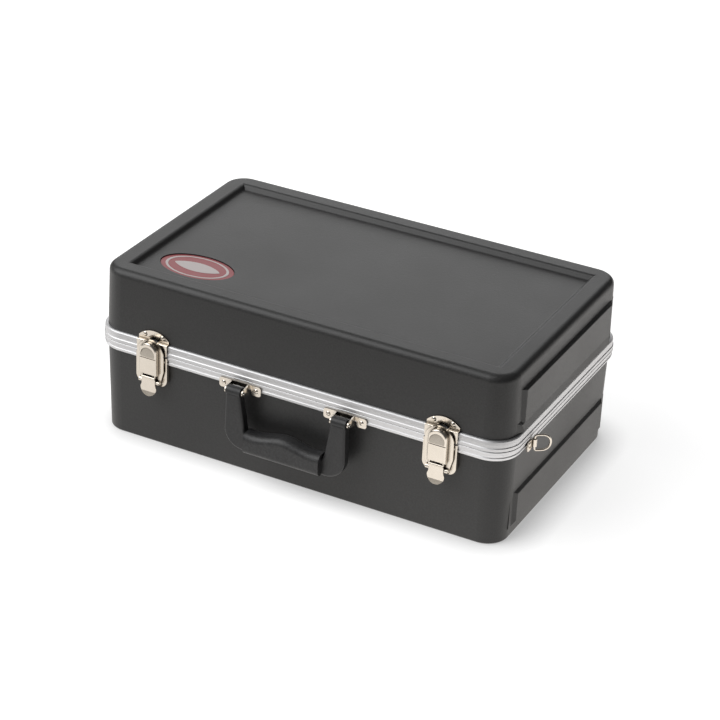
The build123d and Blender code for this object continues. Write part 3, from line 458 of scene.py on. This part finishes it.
def badge_emblem():
    """A plain pale ring and a plain pale lens on the red oval: no words and no mark."""
    low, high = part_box("badge")
    middle = (low + high) / 2
    half = (high - low) / 2
    turns = [2 * pi * n / EMBLEM_STEPS for n in range(EMBLEM_STEPS)]

    def oval(share_long, share_tall, pinch=1.0):
        """An oval round the badge's middle; a pinch above one draws its ends to points."""
        return [
            (
                middle.x + half.x * share_long * cos(turn),
                middle.y + half.y * share_tall * sin(turn) * abs(sin(turn)) ** (pinch - 1.0),
            )
            for turn in turns
        ]

    look = clouded("emblem_pale", PRINT_TONES, PRINT_CLOUD, PRINT_ROUGHNESS)
    raised_shape("badge_ring", oval(RING_OUTER, RING_OUTER), oval(RING_INNER, RING_INNER), high.z, look)
    raised_shape("badge_lens", oval(LENS_LONG, LENS_TALL, LENS_PINCH), None, high.z, look)


def dress_frame():
    """Gives every CAD node the material of its slot in the record, and returns the materials."""
    looks = {
        "shell_plastic": shell_plastic(),
        "valance_metal": valance_metal(),
        "plated_steel": plated_steel(),
        "pin_steel": pin_steel(),
        "handle_plastic": handle_plastic("handle_plastic", BOW_TONES, BOW_DEPTH),
        "grip_plastic": handle_plastic("grip_plastic", GRIP_TONES, GRIP_DEPTH),
        "plush": plush(),
        "badge_enamel": clouded("badge_enamel", RED_TONES, RED_CLOUD, RED_ROUGHNESS),
    }
    slots = {row["node"]: row["material_slot"] for row in frame["record"]["subparts"]}
    for name, node in NODES.items():
        node.data.materials.clear()
        node.data.materials.append(looks[slots[name]])
    return looks


def make_world():
    """White behind the object, and a quiet grey room round it."""
    world = bpy.data.worlds.new("room")
    world.use_nodes = True
    bpy.context.scene.world = world
    nodes = Nodes(world.node_tree)
    sight = nodes.add("ShaderNodeLightPath")
    seen = nodes.add("ShaderNodeBackground", Color=WHITE, Strength=1.0)
    room = nodes.add("ShaderNodeBackground", Color=WHITE, Strength=AMBIENT)
    mixed = nodes.add("ShaderNodeMixShader")
    for number, source in enumerate((sight.outputs["Is Camera Ray"], room.outputs[0], seen.outputs[0])):
        nodes.feed(mixed, number, source)
    nodes.add("ShaderNodeOutputWorld", Surface=mixed.outputs[0])


def floor_material():
    """Pale and matt, with a glow for the camera that keeps the shadow and is dimmed by a painted contact
    shadow round the case, and one for reflections.
    """
    made, nodes, shader, output = material("floor")
    nodes.feed(shader, "Roughness", FLOOR_ROUGHNESS)
    nodes.feed(shader, "Specular IOR Level", FLOOR_SPECULAR)
    sight = nodes.add("ShaderNodeLightPath")
    in_mirror = sight.outputs["Is Glossy Ray"]
    where = nodes.add("ShaderNodeSeparateXYZ", Vector=nodes.place())

    near = nodes.ramp(where.outputs["Y"], MIRROR_AHEAD)
    dusk = nodes.math("MULTIPLY", in_mirror, nodes.math("SUBTRACT", 1.0, near))
    pale = (FLOOR_TONE, FLOOR_TONE, FLOOR_TONE, 1)
    nodes.feed(shader, "Base Color", nodes.mix(dusk, pale, MIRROR_DUSK))
    ahead = nodes.ramp(near, (0.0, 1.0), (MIRROR_FAR, MIRROR_NEAR))
    rightward = nodes.ramp(where.outputs["X"], MIRROR_SIDE, (1.0, MIRROR_RIGHT))
    mirrored = nodes.math("MULTIPLY", in_mirror, nodes.math("MULTIPLY", ahead, rightward))

    # Painted contact shadow: occlusion dims the camera's glow round the case's foot
    glow_with_contact_shadow = nodes.ramp(nodes.openness(CONTACT_REACH, CONTACT_OPEN), (0.0, 1.0), (CONTACT_SHADE, FLOOR_GLOW))
    away = nodes.add("ShaderNodeVectorMath", {"operation": "LENGTH"}, Vector=nodes.place()).outputs["Value"]
    distant = nodes.ramp(away, (FADE_FROM, FADE_TO), (0.0, 1.0 - FLOOR_GLOW))
    looked_at = nodes.math("MULTIPLY", sight.outputs["Is Camera Ray"], nodes.math("ADD", glow_with_contact_shadow, distant))

    tint = nodes.mix(in_mirror, WHITE, MIRROR_WARMTH)
    glow = nodes.add("ShaderNodeEmission", Color=tint, Strength=nodes.math("ADD", looked_at, mirrored))
    both = nodes.add("ShaderNodeAddShader")
    nodes.feed(both, 0, shader.outputs[0])
    nodes.feed(both, 1, glow.outputs[0])
    nodes.feed(output, "Surface", both.outputs[0])
    return made


def make_floor():
    """A plain pale floor that keeps the object's shadow."""
    half = FLOOR_SIDE / 2
    corners = [(-half, -half, 0), (half, -half, 0), (half, half, 0), (-half, half, 0)]
    mesh = bpy.data.meshes.new("floor")
    mesh.from_pydata(corners, [], [(0, 1, 2, 3)])
    mesh.materials.append(floor_material())
    in_scene("floor", mesh)


def softbox(name, place, size, radiance):
    """A rectangular softbox of a given brightness, turned to the case."""
    data = bpy.data.lights.new(name, "AREA")
    data.shape = "RECTANGLE"
    data.size, data.size_y = size
    data.energy = radiance * pi * size[0] * size[1]
    lamp = in_scene(name, data)
    lamp.location = place
    lamp.rotation_mode = "QUATERNION"
    lamp.rotation_quaternion = (Vector(LAMP_AIM) - Vector(place)).to_track_quat("-Z", "Y")


bpy.context.scene.view_settings.view_transform = "Standard"
make_camera()
LOOKS = dress_frame()
plush_bed("base_liner", "base", LOOKS["plush"])
plush_bed("lid_liner", "lid", LOOKS["plush"])
badge_emblem()
make_world()
make_floor()
for lamp_row in LAMPS:
    softbox(*lamp_row)
